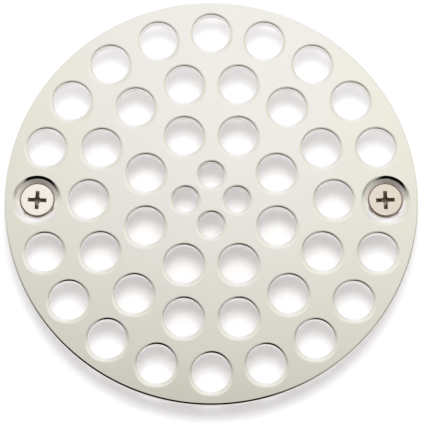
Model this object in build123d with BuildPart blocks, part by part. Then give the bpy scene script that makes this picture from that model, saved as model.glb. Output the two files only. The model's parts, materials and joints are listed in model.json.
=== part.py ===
from build123d import *
import math
import os

# A round floor drain grate: a perforated cover plate and the two countersunk machine screws
# that fix it to the drain body below. Millimetres. The origin is at the centre of the plate's
# underside, +Z points up into the room and +X runs through the right screw.

inch = 25.4

# Cover plate
plate_diameter = 4.0 * inch
plate_thickness = 0.125 * inch
rim_top_radius = 0.65
rim_bottom_radius = 0.3

# Drain holes: three rings of large holes round four small ones
outer_ring_diameter = 3.375 * inch
middle_ring_diameter = 2.375 * inch
inner_ring_diameter = 1.375 * inch
centre_ring_diameter = 0.5 * inch
outer_ring_places = 20
middle_ring_places = 14
inner_ring_places = 8
centre_ring_places = 4
drain_hole_diameter = 0.375 * inch
centre_hole_diameter = 0.25 * inch
hole_edge_radius = 0.25

# Screw holes: they take the two places of the outer ring that lie on the X axis
countersink_angle = 82.0
countersink_radius = 5.15
countersink_lip_radius = 0.7
clearance_hole_radius = 2.6

# Screws: number 8-32 flat head, 3/4 in long over all
screw_length = 0.75 * inch
thread_major_radius = 0.082 * inch
thread_pitch = inch / 32
thread_depth = 0.48
thread_crest_width = 0.1
thread_root_width = 0.14
thread_neck_length = 1.2
tip_chamfer = 0.55
groove_overcut = 0.1
groove_lead_turns = 0.7
# The shank's profile stands at this angle, away from the angle 0 where the groove starts
profile_turn = 200.0
head_radius = 4.085
head_land = 0.25
head_edge_radius = 0.14
seat_gap = 0.06

# Cross recess of the screw heads
recess_span = 4.6
recess_floor_span = 1.9
recess_depth = 1.9
wing_width = 0.98
wing_floor_width = 0.72
recess_core_half_diagonal = 1.25
recess_core_floor_half_diagonal = 0.72
recess_tip_depth = 0.35
left_recess_turn = -2.5
right_recess_turn = 2.0

# Heights worked out from the countersink: the head's cone stands seat_gap above the plate's cone
cone_slope = math.tan(math.radians(countersink_angle / 2))
screw_circle_radius = outer_ring_diameter / 2
head_land_z = plate_thickness - (countersink_radius - head_radius) / cone_slope + seat_gap
head_top_z = head_land_z + head_land
head_cone_end_z = head_land_z - (head_radius - thread_major_radius) / cone_slope
screw_tip_z = head_top_z - screw_length


def edges_of_radius(part, radius):
    """The circular edges of a part that have this radius."""
    circles = part.edges().filter_by(GeomType.CIRCLE)
    return circles.filter_by(lambda edge: abs(edge.radius - radius) < 1e-4)


# The cover plate
with BuildPart() as cover_plate:
    with BuildSketch(Plane.XY):
        Circle(plate_diameter / 2)
        for first_screw_angle in (0, 180):
            step = 360 / outer_ring_places
            places = outer_ring_places // 2 - 1
            with PolarLocations(
                outer_ring_diameter / 2, places, first_screw_angle + step, places * step
            ):
                Circle(drain_hole_diameter / 2, mode=Mode.SUBTRACT)
        middle_ring_start = 90 + 180 / middle_ring_places
        with PolarLocations(middle_ring_diameter / 2, middle_ring_places, middle_ring_start):
            Circle(drain_hole_diameter / 2, mode=Mode.SUBTRACT)
        inner_ring_start = 90 + 180 / inner_ring_places
        with PolarLocations(inner_ring_diameter / 2, inner_ring_places, inner_ring_start):
            Circle(drain_hole_diameter / 2, mode=Mode.SUBTRACT)
        with PolarLocations(centre_ring_diameter / 2, centre_ring_places):
            Circle(centre_hole_diameter / 2, mode=Mode.SUBTRACT)
    extrude(amount=plate_thickness)
    rim_edges = edges_of_radius(cover_plate, plate_diameter / 2).sort_by(Axis.Z)
    fillet(rim_edges[-1], rim_top_radius)
    fillet(edges_of_radius(cover_plate, plate_diameter / 2).sort_by(Axis.Z)[0], rim_bottom_radius)
    fillet(edges_of_radius(cover_plate, drain_hole_diameter / 2), hole_edge_radius)
    fillet(edges_of_radius(cover_plate, centre_hole_diameter / 2), hole_edge_radius)
    with Locations(Plane.XY.offset(plate_thickness)):
        with PolarLocations(screw_circle_radius, 2):
            CounterSinkHole(
                clearance_hole_radius, countersink_radius, counter_sink_angle=countersink_angle
            )
    fillet(edges_of_radius(cover_plate, countersink_radius), countersink_lip_radius)

cover_plate.part.label = "cover_plate"


def build_screw(axis_x, recess_turn):
    """A flat-head machine screw standing in the countersunk hole at axis_x."""
    seam = math.radians(profile_turn)
    side_plane = Plane(
        (axis_x, 0, 0),
        x_dir=(math.cos(seam), math.sin(seam), 0),
        z_dir=(math.sin(seam), -math.cos(seam), 0),
    )
    turn = math.radians(recess_turn)
    along_wing = (math.cos(turn), math.sin(turn), 0)
    across_wing = (-math.sin(turn), math.cos(turn), 0)

    with BuildPart() as screw:
        # head and plain shank
        with BuildSketch(side_plane):
            with BuildLine():
                Polyline(
                    (0, screw_tip_z),
                    (thread_major_radius - tip_chamfer, screw_tip_z),
                    (thread_major_radius, screw_tip_z + tip_chamfer),
                    (thread_major_radius, head_cone_end_z),
                    (head_radius, head_land_z),
                    (head_radius, head_top_z),
                    (0, head_top_z),
                    close=True,
                )
            make_face()
        revolve(axis=Axis((axis_x, 0, 0), (0, 0, 1)))
        fillet(edges_of_radius(screw, head_radius).sort_by(Axis.Z)[-1], head_edge_radius)

        # thread: one helical groove from below the tip up to the plain neck
        groove_top_z = head_cone_end_z - thread_neck_length
        groove_bottom_z = screw_tip_z - groove_lead_turns * thread_pitch
        with BuildLine() as groove_path:
            Helix(
                pitch=thread_pitch,
                height=groove_top_z - groove_bottom_z,
                radius=thread_major_radius,
                center=(axis_x, 0, groove_bottom_z),
            )
        groove_plane = Plane(
            groove_path.line @ 0, x_dir=(1, 0, 0), z_dir=groove_path.line % 0
        )
        groove_half_width = (thread_pitch - thread_crest_width) / 2
        with BuildSketch(groove_plane):
            with BuildLine():
                Polyline(
                    (groove_overcut, -groove_half_width),
                    (groove_overcut, groove_half_width),
                    (-thread_depth, thread_root_width / 2),
                    (-thread_depth, -thread_root_width / 2),
                    close=True,
                )
            make_face()
        sweep(path=groove_path.line, is_frenet=True, mode=Mode.SUBTRACT)

        # cross recess: two tapering slots across each other, opened at the middle
        for wing_direction in (along_wing, across_wing):
            mouth = Plane((axis_x, 0, head_top_z), x_dir=wing_direction, z_dir=(0, 0, 1))
            with BuildSketch(mouth):
                Rectangle(recess_span, wing_width)
            with BuildSketch(mouth.offset(-recess_depth)):
                Rectangle(recess_floor_span, wing_floor_width)
            loft(mode=Mode.SUBTRACT)
        core_mouth = Plane((axis_x, 0, head_top_z), x_dir=along_wing, z_dir=(0, 0, 1))
        with BuildSketch(core_mouth):
            RegularPolygon(recess_core_half_diagonal, 4)
        with BuildSketch(core_mouth.offset(-recess_depth)):
            RegularPolygon(recess_core_floor_half_diagonal, 4)
        loft(mode=Mode.SUBTRACT)
        with BuildSketch(core_mouth.offset(-recess_depth)):
            RegularPolygon(recess_core_floor_half_diagonal, 4)
        with BuildSketch(core_mouth.offset(-recess_depth - recess_tip_depth)):
            RegularPolygon(recess_core_floor_half_diagonal / 4, 4)
        loft(mode=Mode.SUBTRACT)
    return screw


left_screw = build_screw(-screw_circle_radius, left_recess_turn)
left_screw.part.label = "left_screw"
right_screw = build_screw(screw_circle_radius, right_recess_turn)
right_screw.part.label = "right_screw"

os.makedirs("parts", exist_ok=True)
for piece in (cover_plate, left_screw, right_screw):
    export_step(piece.part, f"parts/{piece.part.label}.step")
    print(piece.part.label, round(piece.part.volume, 2), "mm3")
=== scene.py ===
import json
import math

import bpy
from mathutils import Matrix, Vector
from mathutils.geometry import delaunay_2d_cdt


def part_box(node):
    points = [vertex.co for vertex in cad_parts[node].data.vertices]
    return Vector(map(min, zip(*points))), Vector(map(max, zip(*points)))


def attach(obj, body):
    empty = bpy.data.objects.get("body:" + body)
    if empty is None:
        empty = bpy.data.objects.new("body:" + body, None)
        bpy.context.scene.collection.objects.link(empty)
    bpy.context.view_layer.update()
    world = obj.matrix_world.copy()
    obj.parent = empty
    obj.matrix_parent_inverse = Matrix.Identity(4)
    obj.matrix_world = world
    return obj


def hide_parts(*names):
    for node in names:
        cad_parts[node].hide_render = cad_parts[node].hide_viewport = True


# A polished floor drain grate: the perforated plate and its two countersunk screws.
# Metres, in the frame of the CAD model: the origin is at the centre of the plate's underside,
# +Z points up and +X runs through the right screw.

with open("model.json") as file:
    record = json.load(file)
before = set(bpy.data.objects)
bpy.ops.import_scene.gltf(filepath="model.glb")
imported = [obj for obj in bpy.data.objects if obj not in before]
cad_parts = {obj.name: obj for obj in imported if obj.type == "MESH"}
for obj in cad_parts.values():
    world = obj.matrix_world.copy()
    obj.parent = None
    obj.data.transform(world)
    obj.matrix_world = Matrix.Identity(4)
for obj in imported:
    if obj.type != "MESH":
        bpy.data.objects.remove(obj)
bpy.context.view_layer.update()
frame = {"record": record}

INCH = 0.0254
MM = 0.001


# ---------------------------------------------------------------- sizes

def mount(name):
    """One of the record's mounts, by name."""
    return next(m for m in frame["record"]["mounts"] if m["name"] == name)


plate_low, plate_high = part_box("cover_plate")
PLATE_RADIUS = min(-plate_low[0], plate_high[0], plate_high[1])
PLATE_THICKNESS = plate_high[2] - plate_low[2]
SCREW_CIRCLE_RADIUS = mount("screw_studs")["dims"]["pcd_mm"] * MM / 2

DRAIN_HOLE_RADIUS = 0.375 * INCH / 2
CENTRE_HOLE_RADIUS = 0.25 * INCH / 2

COUNTERSINK_HALF_ANGLE = math.radians(41)
COUNTERSINK_RADIUS = 5.15 * MM
CLEARANCE_HOLE_RADIUS = 2.6 * MM

# Rings of holes: diameter, number of places, angle of the first place
OUTER_RING = (3.375 * INCH, 20, 0)
MIDDLE_RING = (2.375 * INCH, 14, math.pi / 2 + math.pi / 14)
INNER_RING = (1.375 * INCH, 8, math.pi / 2 + math.pi / 8)
CENTRE_RING = (0.5 * INCH, 4, 0)
# The two places of the outer ring that hold the screws
SCREW_PLACES = (10, 0)

# Edges are narrow on the +Y side and wide on the -Y side. This is fitted so that the dark
# reflections fall where the photograph has them; the real edges may be equal all round. Each
# rounding is part of an ellipse: half width, half depth, the angle where it starts, and the
# radius of the edge itself. The first of each pair is the one at +Y.
RIM_ROUNDS = (
    (0.90 * MM, 0.135 * MM, math.radians(42.0), PLATE_RADIUS),
    (1.75 * MM, 0.210 * MM, math.radians(49.5), PLATE_RADIUS),
)
DRAIN_HOLE_ROUNDS = (
    (2.60 * MM, 0.160 * MM, math.radians(53.9), DRAIN_HOLE_RADIUS),
    (1.20 * MM, 0.210 * MM, 0.0, DRAIN_HOLE_RADIUS),
)
CENTRE_HOLE_ROUNDS = (
    (2.60 * MM, 0.160 * MM, math.radians(53.9), CENTRE_HOLE_RADIUS),
    (1.05 * MM, 0.190 * MM, 0.0, CENTRE_HOLE_RADIUS),
)
COUNTERSINK_ROUNDS = (
    (3.65 * MM, 0.585 * MM, math.radians(50.5), 5.42 * MM),
    (2.20 * MM, 1.000 * MM, 0.0, COUNTERSINK_RADIUS),
)
UNDERSIDE_ROUND = (0.3 * MM, 0.3 * MM, 0.0)

# Steps round a whole turn, and steps across a rounded edge
RIM_STEPS = 288
DRAIN_HOLE_STEPS = 72
CENTRE_HOLE_STEPS = 56
COUNTERSINK_STEPS = 96
SCREW_STEPS = 72
EDGE_STEPS = 14
HEAD_EDGE_STEPS = 8
UNDERSIDE_STEPS = 4

# Screws: number 8-32 flat head with a cross recess
HEAD_RADIUS = 4.085 * MM
HEAD_LAND = 0.25 * MM
HEAD_ROUND = (0.27 * MM, 0.2 * MM, 0.0)
THREAD_RADIUS = 0.082 * INCH
THREAD_PITCH = INCH / 32
THREAD_DEPTH = 0.48 * MM
THREAD_MOUTH_HALF_WIDTH = 0.3 * MM
THREAD_ROOT_HALF_WIDTH = 0.07 * MM
NECK_LENGTH = 1.2 * MM
# The groove fades out over this many turns below the neck
GROOVE_RUN_OUT = 0.6
TIP_CHAMFER = 0.55 * MM
RECESS_DEPTH = 1.9 * MM
RECESS_TIP_DEPTH = 0.35 * MM
# Half span, half width of a wing and half diagonal of the middle, at the mouth and at the floor
RECESS_MOUTH = (2.3 * MM, 0.49 * MM, 1.25 * MM)
RECESS_FLOOR = (0.95 * MM, 0.36 * MM, 0.72 * MM)
RECESS_TURN = {"left_screw": math.radians(-2.5), "right_screw": math.radians(2.0)}

screw_low, screw_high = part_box("right_screw")
HEAD_TOP_Z = screw_high[2]
TABLE_Z = screw_low[2]


# ---------------------------------------------------------------- building meshes

def arc(height, rounding, end, steps, side):
    """Points of a rounded edge seen in section: (distance from the axis, height, normal out, normal up).

    The rounding leaves a face at this height and ends where its ellipse has turned to the end
    angle. Side is 1 where it faces away from the axis, as on the rim, and -1 in a hole."""
    width, depth, start, edge = rounding
    centre = edge - side * width * math.sin(end)
    points = []
    for i in range(steps + 1):
        angle = start + (end - start) * i / steps
        out, up = math.sin(angle), math.cos(angle)
        tilt = math.hypot(out / width, up / depth)
        points.append((
            centre + side * width * out, height + depth * (up - math.cos(start)),
            side * out / width / tilt, up / depth / tilt,
        ))
    return points


def rounding_at(rounds, angle):
    """The rounding at this angle, between the narrow one at +Y and the wide one at -Y."""
    share = (0.5 - 0.5 * math.sin(angle)) ** 3
    return [narrow + (wide - narrow) * share for narrow, wide in zip(*rounds)]


def wall_section(radius, rounds, side):
    """The section, at each angle, of a straight wall with rounded edges, from the top face down."""
    foot = arc(0, (*UNDERSIDE_ROUND, radius), math.pi / 2, UNDERSIDE_STEPS, side)
    foot = [(distance, -height, out, -up) for distance, height, out, up in reversed(foot)]

    def section(angle):
        top = arc(PLATE_THICKNESS, rounding_at(rounds, angle), math.pi / 2, EDGE_STEPS, side)
        return [top, [top[-1], foot[0]], foot]
    return section


def countersink_section(angle):
    """The section, at each angle, of a screw hole.

    A rounded lip, a worn slope down to the height of the screw's head, the cone that the head
    stands on and a short straight hole."""
    width, depth, start, radius = rounding_at(COUNTERSINK_ROUNDS, angle)
    slope = math.tan(COUNTERSINK_HALF_ANGLE)
    end = math.atan(width / depth / slope)
    drop = depth * (math.cos(start) - math.cos(end))
    lip = arc(PLATE_THICKNESS, (width, depth, start, radius - drop * slope), end, EDGE_STEPS, -1)
    knee = COUNTERSINK_RADIUS - (PLATE_THICKNESS - HEAD_TOP_Z) * slope
    run, rise = lip[-1][0] - knee, lip[-1][1] - HEAD_TOP_Z
    lean = (-rise / math.hypot(run, rise), run / math.hypot(run, rise))
    slope_band = [(*lip[-1][:2], *lean), (knee, HEAD_TOP_Z, *lean)]
    land_z = PLATE_THICKNESS - (COUNTERSINK_RADIUS - CLEARANCE_HOLE_RADIUS) / slope
    lean = (-math.cos(COUNTERSINK_HALF_ANGLE), math.sin(COUNTERSINK_HALF_ANGLE))
    cone = [(knee, HEAD_TOP_Z, *lean), (CLEARANCE_HOLE_RADIUS, land_z, *lean)]
    hole = [(CLEARANCE_HOLE_RADIUS, land_z, -1, 0), (CLEARANCE_HOLE_RADIUS, 0, -1, 0)]
    return [lip, slope_band, cone, hole]


class Skin:
    """Points, faces and exact corner normals of one mesh."""

    def __init__(self):
        self.points = []
        self.known = {}
        self.faces = []
        self.normals = []

    def point(self, x, y, z):
        key = (round(x, 8), round(y, 8), round(z, 8))
        if key not in self.known:
            self.known[key] = len(self.points)
            self.points.append((x, y, z))
        return self.known[key]

    def add_face(self, corners, normals):
        """A face that looks the way its corner normals point; corners that coincide are merged."""
        kept = [k for k in range(len(corners)) if corners[k] != corners[k - 1]]
        if len(kept) < 3:
            return
        corners = [corners[k] for k in kept]
        normals = [normals[k] for k in kept]
        a, b, c = (Vector(self.points[i]) for i in corners[:3])
        if (b - a).cross(c - b).dot(sum((Vector(n) for n in normals), Vector())) < 0:
            corners, normals = corners[::-1], normals[::-1]
        self.faces.append(corners)
        self.normals.extend(normals)

    def add_flat_face(self, corners, hint):
        """A face with its own flat normal, on the side that the hint points to."""
        places = [Vector(self.points[i]) for i in corners]
        normal = Vector()
        for a, b in zip(places, places[1:] + places[:1]):
            normal += (a - places[0]).cross(b - places[0])
        normal.normalize()
        if normal.dot(Vector(hint)) < 0:
            normal = -normal
        self.add_face(corners, [normal] * len(corners))

    def turn(self, centre, section, steps):
        """Sweeps a section round a vertical axis. Returns its first and its last ring of points."""
        turns = [2 * math.pi * i / steps for i in range(steps)]
        ways = [(math.cos(turn), math.sin(turn)) for turn in turns]
        sections = [section(turn) for turn in turns]

        def corner(step, strip, place):
            distance, height, out, up = sections[step][strip][place]
            x, y = ways[step]
            index = self.point(centre[0] + distance * x, centre[1] + distance * y, height)
            return index, (out * x, out * y, up)

        for strip in range(len(sections[0])):
            for place in range(len(sections[0][strip]) - 1):
                for step in range(steps):
                    following = (step + 1) % steps
                    corners = [
                        corner(step, strip, place), corner(following, strip, place),
                        corner(following, strip, place + 1), corner(step, strip, place + 1),
                    ]
                    self.add_face([index for index, _ in corners], [normal for _, normal in corners])
        return [[corner(step, strip, strip)[0] for step in range(steps)] for strip in (0, -1)]

    def fill(self, loops, up, is_open=None):
        """Fills a flat face between the first loop and the others, leaving the holes open.

        A triangle is open when it joins three points of one round hole, or when is_open says so."""
        order = [(i, number) for number, loop in enumerate(loops) for i in loop]
        flat = [Vector(self.points[i][:2]) for i, _ in order]
        place = {point: i for i, (point, _) in enumerate(order)}
        edges = [(place[a], place[b]) for loop in loops for a, b in zip(loop, loop[1:] + loop[:1])]
        for triangle in delaunay_2d_cdt(flat, edges, [], 0, 1e-9)[2]:
            owners = {order[i][1] for i in triangle}
            if is_open:
                skip = is_open(sum((flat[i] for i in triangle), Vector((0, 0))) / 3)
            else:
                skip = len(owners) == 1 and owners != {0}
            if not skip:
                self.add_face([order[i][0] for i in triangle], [(0, 0, up)] * 3)

    def build(self, name):
        mesh = bpy.data.meshes.new(name)
        mesh.from_pydata(self.points, [], self.faces)
        mesh.polygons.foreach_set("use_smooth", [True] * len(self.faces))
        mesh.normals_split_custom_set(self.normals)
        mesh.update()
        piece = bpy.data.objects.new(name, mesh)
        bpy.context.collection.objects.link(piece)
        return piece


# ---------------------------------------------------------------- the cover plate

def on_ring(diameter, count, first_angle):
    """Places evenly spaced round a circle."""
    radius = diameter / 2
    return [
        (radius * math.cos(first_angle + 2 * math.pi * i / count),
         radius * math.sin(first_angle + 2 * math.pi * i / count))
        for i in range(count)
    ]


def hole_places():
    """Centres of the large and of the small drain holes, and of the screw holes."""
    outer = on_ring(*OUTER_RING)
    screws = [outer.pop(place) for place in SCREW_PLACES]
    return outer + on_ring(*MIDDLE_RING) + on_ring(*INNER_RING), on_ring(*CENTRE_RING), screws


def make_plate():
    skin = Skin()
    drains, small_drains, screw_holes = hole_places()
    rim = wall_section(PLATE_RADIUS, RIM_ROUNDS, 1)
    drain = wall_section(DRAIN_HOLE_RADIUS, DRAIN_HOLE_ROUNDS, -1)
    small_drain = wall_section(CENTRE_HOLE_RADIUS, CENTRE_HOLE_ROUNDS, -1)
    rings = [skin.turn((0, 0), rim, RIM_STEPS)]
    rings += [skin.turn(centre, drain, DRAIN_HOLE_STEPS) for centre in drains]
    rings += [skin.turn(centre, small_drain, CENTRE_HOLE_STEPS) for centre in small_drains]
    rings += [skin.turn(centre, countersink_section, COUNTERSINK_STEPS) for centre in screw_holes]
    skin.fill([ring[0] for ring in rings], 1)
    skin.fill([ring[1] for ring in rings], -1)
    plate = skin.build("polished_cover_plate")
    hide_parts("cover_plate")
    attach(plate, "plate")
    return plate


# ---------------------------------------------------------------- the screws

def cross_outline(half_span, half_width, half_diagonal):
    """The outline of the cross recess: two crossing wings and a square opened between them."""
    corner = half_diagonal - half_width
    quarter = [(half_span, -half_width), (half_span, half_width), (corner, half_width), (half_width, corner)]
    outline = []
    for _ in range(4):
        outline += quarter
        quarter = [(-y, x) for x, y in quarter]
    return outline


def in_cross(place, half_span, half_width, half_diagonal):
    x, y = abs(place[0]), abs(place[1])
    return max(x, y) < half_span and min(x, y) < half_width or x + y < half_diagonal


def add_recess(skin, face_ring, axis_x, turn):
    """The head's top face with the cross recess sunk into it."""
    def placed(outline, height):
        return [
            skin.point(
                axis_x + x * math.cos(turn) - y * math.sin(turn), x * math.sin(turn) + y * math.cos(turn),
                height,
            )
            for x, y in outline
        ]

    def in_recess(middle):
        x, y = middle[0] - axis_x, middle[1]
        unturned = (x * math.cos(turn) + y * math.sin(turn), y * math.cos(turn) - x * math.sin(turn))
        return in_cross(unturned, *RECESS_MOUTH)

    mouth = placed(cross_outline(*RECESS_MOUTH), HEAD_TOP_Z)
    floor = placed(cross_outline(*RECESS_FLOOR), HEAD_TOP_Z - RECESS_DEPTH)
    tip = skin.point(axis_x, 0, HEAD_TOP_Z - RECESS_DEPTH - RECESS_TIP_DEPTH)
    for i in range(len(mouth)):
        j = (i + 1) % len(mouth)
        ax, ay, _ = skin.points[mouth[i]]
        bx, by, _ = skin.points[mouth[j]]
        skin.add_flat_face([mouth[i], mouth[j], floor[j], floor[i]], (ay - by, bx - ax, 0))
        if floor[i] != floor[j]:
            skin.add_flat_face([floor[i], floor[j], tip], (0, 0, 1))
    skin.fill([face_ring, mouth], 1, in_recess)


def add_thread(skin, axis_x, neck_z):
    """The threaded shank: one helical groove that runs out at the neck, and a bevelled tip."""
    steps = SCREW_STEPS
    tip_z = TABLE_Z
    mouth, root = THREAD_MOUTH_HALF_WIDTH, THREAD_ROOT_HALF_WIDTH
    lines = [(-mouth, 0), (-root, THREAD_DEPTH), (root, THREAD_DEPTH), (mouth, 0)]
    turns = math.ceil((neck_z - tip_z) / THREAD_PITCH) + 2
    flank = THREAD_DEPTH / (mouth - root)
    # how fast the radius grows with height on the faces that follow each line
    slopes = [-flank, 0, flank, 0]

    def corner(line, step):
        along, depth = lines[line % 4]
        step += steps * (line // 4)
        turn = 2 * math.pi * step / steps
        z = tip_z - THREAD_PITCH + along + THREAD_PITCH * step / steps
        z = min(max(z, tip_z), neck_z)
        depth *= min((neck_z - z) / (GROOVE_RUN_OUT * THREAD_PITCH), 1)
        radius = min(THREAD_RADIUS - depth, THREAD_RADIUS - TIP_CHAMFER + z - tip_z)
        x, y = math.cos(turn), math.sin(turn)
        return skin.point(axis_x + radius * x, radius * y, z), (x, y)

    for step in range(steps * turns):
        for line, slope in enumerate(slopes):
            corners, normals = [], []
            for line_there, step_there in (
                (line, step), (line, step + 1), (line + 1, step + 1), (line + 1, step)
            ):
                index, (x, y) = corner(line_there, step_there)
                corners.append(index)
                normals.append(Vector((x, y, -slope)).normalized())
            if len(set(corners)) >= 3:
                skin.add_face(corners, normals)
    tip_radius = THREAD_RADIUS - TIP_CHAMFER
    tip_ring = [
        skin.point(axis_x + tip_radius * math.cos(turn), tip_radius * math.sin(turn), tip_z)
        for turn in (2 * math.pi * i / steps for i in range(steps))
    ]
    skin.add_face(tip_ring, [(0, 0, -1)] * steps)


def make_screw(node, body, axis_x):
    skin = Skin()
    land_z = HEAD_TOP_Z - HEAD_LAND
    slope = math.tan(COUNTERSINK_HALF_ANGLE)
    shank_z = land_z - (HEAD_RADIUS - THREAD_RADIUS) / slope
    neck_z = shank_z - NECK_LENGTH
    edge = arc(HEAD_TOP_Z, (*HEAD_ROUND, HEAD_RADIUS), math.pi / 2, HEAD_EDGE_STEPS, 1)
    out, up = math.cos(COUNTERSINK_HALF_ANGLE), -math.sin(COUNTERSINK_HALF_ANGLE)
    strips = [
        edge,
        [edge[-1], (HEAD_RADIUS, land_z, 1, 0)],
        [(HEAD_RADIUS, land_z, out, up), (THREAD_RADIUS, shank_z, out, up)],
        [(THREAD_RADIUS, shank_z, 1, 0), (THREAD_RADIUS, neck_z, 1, 0)],
    ]
    face_ring, _ = skin.turn((axis_x, 0), lambda angle: strips, SCREW_STEPS)
    add_recess(skin, face_ring, axis_x, RECESS_TURN[node])
    add_thread(skin, axis_x, neck_z)
    screw = skin.build(f"turned_{node}")
    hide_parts(node)
    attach(screw, body)
    return screw


# ---------------------------------------------------------------- materials

class Nodes:
    """A small helper to write node trees in one line a node."""

    def __init__(self, tree):
        self.tree = tree
        tree.nodes.clear()

    def add(self, kind, **settings):
        node = self.tree.nodes.new(kind)
        for key, value in settings.items():
            setattr(node, key, value)
        return node

    def link(self, source, target):
        self.tree.links.new(source, target)

    def math(self, operation, a, b=None, c=None, clamp=False):
        node = self.add("ShaderNodeMath", operation=operation, use_clamp=clamp)
        for socket, value in zip(node.inputs, (a, b, c)):
            if value is None:
                continue
            if isinstance(value, (int, float)):
                socket.default_value = value
            else:
                self.link(value, socket)
        return node.outputs[0]

    def smooth(self, value, low, high, to_low=0.0, to_high=1.0):
        """Smooth step from to_low to to_high as the value goes from low to high."""
        node = self.add("ShaderNodeMapRange", interpolation_type="SMOOTHSTEP")
        self.link(value, node.inputs["Value"])
        for name, number in zip(("From Min", "From Max", "To Min", "To Max"), (low, high, to_low, to_high)):
            node.inputs[name].default_value = number
        return node.outputs["Result"]

    def mix(self, factor, a, b):
        """Mixes two colours, each an RGB tuple or a socket."""
        node = self.add("ShaderNodeMix", data_type="RGBA")
        for socket, value in ((node.inputs[0], factor), (node.inputs[6], a), (node.inputs[7], b)):
            if isinstance(value, (int, float)):
                socket.default_value = value
            elif isinstance(value, tuple):
                socket.default_value = (*value, 1)
            else:
                self.link(value, socket)
        return node.outputs[2]

    def split(self, vector):
        axes = self.add("ShaderNodeSeparateXYZ")
        self.link(vector, axes.inputs[0])
        return axes.outputs

    def join(self, *values):
        vector = self.add("ShaderNodeCombineXYZ")
        for socket, value in zip(vector.inputs, values):
            if isinstance(value, float):
                socket.default_value = value
            else:
                self.link(value, socket)
        return vector.outputs[0]

    def noise(self, vector, scale, detail):
        """Noise with so many features a metre along each axis."""
        stretch = self.add("ShaderNodeMapping")
        stretch.inputs["Scale"].default_value = scale
        self.link(vector, stretch.inputs["Vector"])
        noise = self.add("ShaderNodeTexNoise")
        noise.inputs["Scale"].default_value = 1
        noise.inputs["Detail"].default_value = detail
        self.link(stretch.outputs[0], noise.inputs["Vector"])
        return noise.outputs["Fac"]

    def blend(self, factor, a, b):
        """Mixes two numbers."""
        node = self.add("ShaderNodeMix")
        self.link(factor, node.inputs[0])
        for socket, value in ((node.inputs[2], a), (node.inputs[3], b)):
            if isinstance(value, (int, float)):
                socket.default_value = value
            else:
                self.link(value, socket)
        return node.outputs[0]

    def metal(self, colour, roughness, grooves, strength, depth):
        """The metal shader of this material, with its bump."""
        shader = self.add("ShaderNodeBsdfPrincipled")
        shader.inputs["Metallic"].default_value = 1
        self.link(colour, shader.inputs["Base Color"])
        self.link(roughness, shader.inputs["Roughness"])
        bump = self.add("ShaderNodeBump")
        bump.inputs["Strength"].default_value = strength
        bump.inputs["Distance"].default_value = depth
        self.link(grooves, bump.inputs["Height"])
        self.link(bump.outputs["Normal"], shader.inputs["Normal"])
        out = self.add("ShaderNodeOutputMaterial")
        self.link(shader.outputs[0], out.inputs["Surface"])


def new_material(name):
    material = bpy.data.materials.new(name)
    material.use_nodes = True
    return material, Nodes(material.node_tree)


def polished_nickel():
    """Mirror polished nickel plate: satin in the machined holes, plain and duller underneath."""
    material, n = new_material("polished nickel")
    place = n.add("ShaderNodeTexCoord")
    where = place.outputs["Object"]
    x, y, _ = n.split(where)
    up = n.split(place.outputs["Normal"])[2]

    # where the surface is machined and not polished: screw hole cones, walls, underside
    from_axis = n.math("SUBTRACT", n.math("ABSOLUTE", x), SCREW_CIRCLE_RADIUS)
    reach = n.math("SQRT", n.math("ADD", n.math("POWER", from_axis, 2.0), n.math("POWER", y, 2.0)))
    in_cone = n.math("MULTIPLY", n.smooth(reach, 5.05 * MM, 4.95 * MM), n.smooth(up, 0.80, 0.66))
    # A lighter, rougher band on the +Y side of each countersink's lip
    slope_band = n.math("MULTIPLY", n.smooth(reach, 5.27 * MM, 5.17 * MM), n.smooth(up, 0.92, 0.88))
    slope_band = n.math("MULTIPLY", slope_band, n.smooth(y, -1.5 * MM, 1.5 * MM))
    in_cone = n.math("MAXIMUM", in_cone, slope_band)
    wall = n.smooth(n.math("ABSOLUTE", up), 0.25, 0.08)
    under = n.smooth(up, -0.3, -0.8)
    machined = n.math("MAXIMUM", in_cone, wall)

    haze = n.noise(where, (60, 60, 60), 4)
    wipes = n.noise(where, (35, 420, 60), 3)
    lines = n.noise(where, (220, 9000, 220), 3)
    rings = n.noise(n.join(reach, n.math("MULTIPLY", reach, 0.37), 0.0), (5200, 5200, 1), 2)
    pitting = n.noise(where, (1500, 1500, 400), 4)

    polished = n.mix(haze, (0.705, 0.670, 0.592), (0.725, 0.690, 0.610))
    satin = n.mix(rings, (0.54, 0.49, 0.455), (0.86, 0.80, 0.76))
    bored = n.mix(pitting, (0.74, 0.715, 0.70), (0.86, 0.835, 0.82))
    plain = n.mix(pitting, (0.80, 0.77, 0.73), (0.88, 0.85, 0.81))
    filed = n.mix(pitting, (0.56, 0.54, 0.53), (0.68, 0.66, 0.65))
    out = n.math("SQRT", n.math("ADD", n.math("POWER", x, 2.0), n.math("POWER", y, 2.0)))
    bored = n.mix(n.smooth(out, PLATE_RADIUS - 1.0 * MM, PLATE_RADIUS - 0.5 * MM), bored, filed)
    colour = n.mix(wall, polished, bored)
    colour = n.mix(in_cone, colour, satin)
    # the lighter band on the +Y side of the countersink lips
    colour = n.mix(slope_band, colour, n.mix(rings, (0.84, 0.765, 0.71), (1.0, 0.93, 0.87)))
    colour = n.mix(under, colour, plain)

    shine = n.math("ADD", n.smooth(haze, 0.35, 0.7, 0.045, 0.075), n.smooth(wipes, 0.55, 0.75, 0.0, 0.012))
    rough = n.blend(machined, shine, n.smooth(pitting, 0.3, 0.7, 0.28, 0.40))
    rough = n.blend(slope_band, rough, n.smooth(pitting, 0.3, 0.7, 0.58, 0.70))
    rough = n.blend(under, rough, n.smooth(pitting, 0.3, 0.7, 0.24, 0.36))

    grooves = n.blend(in_cone, n.math("MULTIPLY", lines, 0.1), n.math("MULTIPLY", rings, 3.0))
    grooves = n.blend(under, grooves, n.math("MULTIPLY", pitting, 2.0))
    n.metal(colour, rough, grooves, 0.12, 0.00002)
    return material


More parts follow.
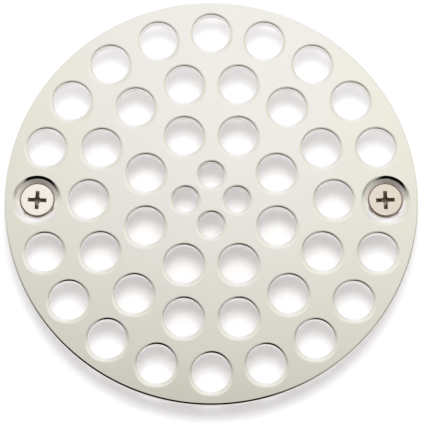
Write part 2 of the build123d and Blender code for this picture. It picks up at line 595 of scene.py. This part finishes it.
def screw_nickel():
    """Nickel plated steel: a finely grained head with painted shade on its edge, a recess darkened with soot
    and painted shade, and a plain threaded shank.
    """
    material, n = new_material("screw nickel")
    place = n.add("ShaderNodeTexCoord")
    where = place.outputs["Object"]
    x, y, z = n.split(where)
    up = n.split(place.outputs["Normal"])[2]
    from_axis = n.math("SUBTRACT", n.math("ABSOLUTE", x), SCREW_CIRCLE_RADIUS)
    reach = n.math("SQRT", n.math("ADD", n.math("POWER", from_axis, 2.0), n.math("POWER", y, 2.0)))

    grain = n.noise(where, (2600, 2600, 2600), 5)
    cloud = n.noise(where, (420, 420, 420), 3)
    turned = n.noise(n.join(z, n.math("MULTIPLY", reach, 0.4), 0.0), (9000, 9000, 1), 2)
    soil_and_shade_noise = n.noise(where, (1100, 1100, 500), 4)

    # The recess is painted dark: soot together with painted shade of the hollow
    below = n.smooth(z, HEAD_TOP_Z - 0.05 * MM, HEAD_TOP_Z - 0.35 * MM)
    inside = n.smooth(reach, 2.75 * MM, 2.55 * MM)
    above_floor = n.smooth(z, HEAD_TOP_Z - 2.6 * MM, HEAD_TOP_Z - 2.4 * MM)
    recess = n.math("MULTIPLY", n.math("MULTIPLY", below, inside), above_floor)
    shank = n.smooth(z, HEAD_TOP_Z - HEAD_LAND, HEAD_TOP_Z - 1.5 * HEAD_LAND)
    # Painted shade: the head's rounded edge and land are darkened all round, standing in for the shade of
    # the gap against the countersink
    edge = n.math("MULTIPLY", n.smooth(up, 0.97, 0.80), n.math("SUBTRACT", 1.0, shank))
    edge = n.math("MULTIPLY", edge, 0.45)

    speckle = n.math("MULTIPLY", grain, cloud)
    fresh = n.mix(speckle, (0.94, 0.835, 0.735), (1.0, 0.97, 0.88))
    tarnished = n.mix(speckle, (0.73, 0.63, 0.52), (1.0, 0.89, 0.77))
    face = n.mix(n.smooth(x, -1.0 * MM, 1.0 * MM), fresh, tarnished)
    # soot and painted shade in the recess, lighter towards its middle
    soot_and_shade = n.mix(soil_and_shade_noise, (0.26, 0.215, 0.165), (0.62, 0.53, 0.43))
    soot_and_shade = n.mix(n.smooth(reach, 1.0 * MM, 0.4 * MM, 0.0, 0.7), soot_and_shade, (0.85, 0.78, 0.68))
    plain = n.mix(turned, (0.60, 0.57, 0.51), (0.70, 0.665, 0.60))
    colour = n.mix(shank, face, plain)
    # darkens the head's edge with the painted shade
    colour = n.mix(edge, colour, (0.24, 0.20, 0.15))
    colour = n.mix(recess, colour, soot_and_shade)

    rough = n.blend(shank, n.smooth(grain, 0.3, 0.7, 0.20, 0.30), n.smooth(turned, 0.3, 0.7, 0.20, 0.34))
    rough = n.blend(recess, rough, n.smooth(soil_and_shade_noise, 0.3, 0.7, 0.30, 0.5))
    grooves = n.blend(shank, grain, n.math("MULTIPLY", turned, 0.6))
    n.metal(colour, rough, grooves, 0.15, 0.00003)
    return material


def white_table():
    """A plain white sheet of studio paper."""
    material, n = new_material("white table")
    shader = n.add("ShaderNodeBsdfPrincipled")
    shader.inputs["Base Color"].default_value = (0.94, 0.94, 0.94, 1)
    shader.inputs["Roughness"].default_value = 0.9
    shader.inputs["Specular IOR Level"].default_value = 0.1
    out = n.add("ShaderNodeOutputMaterial")
    n.link(shader.outputs[0], out.inputs["Surface"])
    return material


def give(piece, material):
    piece.data.materials.clear()
    piece.data.materials.append(material)


# ---------------------------------------------------------------- studio

# The light is fitted to the photograph, it isn't measured
ROOM_HEADING = math.radians(250)
ROOM_DARKNESS = 0.995
PANEL_SLANT = 0.40
PANEL_FALLOFF = 3.93
PANEL_LEAST = 0.85
LAMP_PLACE = (0.005, -0.018, 0.533)
LAMP_SIZE = 0.11
LAMP_POWER = 1.35
CAMERA_PLACE = (0.00017, -0.11428, PLATE_THICKNESS + 0.4824)
CAMERA_TILT = math.radians(12.948)
CAMERA_LENS = 170.91
TABLE_SIZE = 4
TABLE_GAP = 0.02 * MM


def make_table():
    bpy.ops.mesh.primitive_plane_add(size=TABLE_SIZE, location=(0, 0, TABLE_Z - TABLE_GAP))
    table = bpy.context.object
    table.name = "table"
    give(table, white_table())


def make_sky():
    """A white tent round the grate: brightest overhead and behind, dark on the camera's side."""
    world = bpy.data.worlds.new("studio tent")
    bpy.context.scene.world = world
    world.use_nodes = True
    n = Nodes(world.node_tree)
    direction = n.add("ShaderNodeTexCoord").outputs["Generated"]
    x, y, z = n.split(direction)

    # overhead panel: brighter away from the camera, brightest a little to the right
    behind = n.smooth(y, 0.029, 0.304, 0.731, 1.246)
    far = n.smooth(y, 0.40, 0.75, 1.0, 1.14)
    foot = n.smooth(y, 0.125, 0.16, 0.92, 1.0)
    slant = n.math("MULTIPLY_ADD", x, PANEL_SLANT, 1.0)
    falloff = n.math("MULTIPLY", n.math("MULTIPLY", x, x), PANEL_FALLOFF)
    sideways = n.math("MAXIMUM", n.math("SUBTRACT", slant, falloff), PANEL_LEAST)
    overhead = n.math("MULTIPLY", n.math("MULTIPLY", behind, far), n.math("MULTIPLY", sideways, foot))
    horizon = n.smooth(y, 0.1, 0.6, 1.1, 1.2)
    bright = n.blend(n.smooth(z, 0.3, 0.8), horizon, overhead)

    # the dark room on the camera's side
    toward = n.math(
        "ADD",
        n.math("MULTIPLY", x, math.cos(ROOM_HEADING)),
        n.math("MULTIPLY", y, math.sin(ROOM_HEADING)),
    )
    flat = n.math("SQRT", n.math("ADD", n.math("MULTIPLY", x, x), n.math("MULTIPLY", y, y)))
    heading = n.math("DIVIDE", toward, n.math("MAXIMUM", flat, 0.001))
    dark = n.math("MULTIPLY", n.smooth(toward, 0.0, 0.06), n.smooth(heading, 0.2, 0.68))
    dark = n.math("MULTIPLY", dark, n.smooth(z, 0.12, 0.35))
    strength = n.math("MULTIPLY", bright, n.math("SUBTRACT", 1.0, n.math("MULTIPLY", dark, ROOM_DARKNESS)))

    glow = n.add("ShaderNodeBackground")
    tint = n.mix(n.smooth(y, 0.105, 0.26), (0.97, 1.0, 0.965), (0.97, 1.0, 1.065))
    tint = n.mix(n.smooth(n.math("ABSOLUTE", x), 0.035, 0.09), tint, (0.97, 1.0, 0.99))
    tint = n.mix(n.smooth(y, 0.33, 0.6), tint, (0.98, 1.0, 1.12))
    n.link(tint, glow.inputs["Color"])
    n.link(strength, glow.inputs["Strength"])

    # what the table is lit with: the whole tent, dimmer on the camera's side
    ambient = n.add("ShaderNodeBackground")
    ambient.inputs["Color"].default_value = (1.02, 1.0, 1.01, 1)
    n.link(n.smooth(y, -0.7, 0.7, 0.6, 1.2), ambient.inputs["Strength"])
    spread = n.add("ShaderNodeMixShader")
    n.link(n.add("ShaderNodeLightPath").outputs["Is Diffuse Ray"], spread.inputs[0])
    n.link(glow.outputs[0], spread.inputs[1])
    n.link(ambient.outputs[0], spread.inputs[2])
    out = n.add("ShaderNodeOutputWorld")
    n.link(spread.outputs[0], out.inputs["Surface"])


def make_lamp():
    """The small soft lamp overhead that draws the shadows under the plate."""
    lamp = bpy.data.lights.new("overhead lamp", "AREA")
    lamp.shape = "DISK"
    lamp.size = LAMP_SIZE
    lamp.energy = LAMP_POWER
    holder = bpy.data.objects.new("overhead lamp", lamp)
    holder.location = LAMP_PLACE
    holder.visible_glossy = False
    bpy.context.collection.objects.link(holder)


def make_camera():
    """A long lens nearly straight above, a little in front."""
    camera = bpy.data.cameras.new("camera")
    camera.lens = CAMERA_LENS
    camera.sensor_width = 36
    camera.clip_start = 0.01
    camera.clip_end = 20
    holder = bpy.data.objects.new("camera", camera)
    holder.location = CAMERA_PLACE
    holder.rotation_euler = (CAMERA_TILT, 0, 0)
    bpy.context.collection.objects.link(holder)
    bpy.context.scene.camera = holder


give(make_plate(), polished_nickel())
screw_material = screw_nickel()
give(make_screw("left_screw", "left_screw_body", -SCREW_CIRCLE_RADIUS), screw_material)
give(make_screw("right_screw", "right_screw_body", SCREW_CIRCLE_RADIUS), screw_material)
make_table()
make_sky()
make_lamp()
make_camera()
bpy.context.scene.view_settings.view_transform = "Standard"
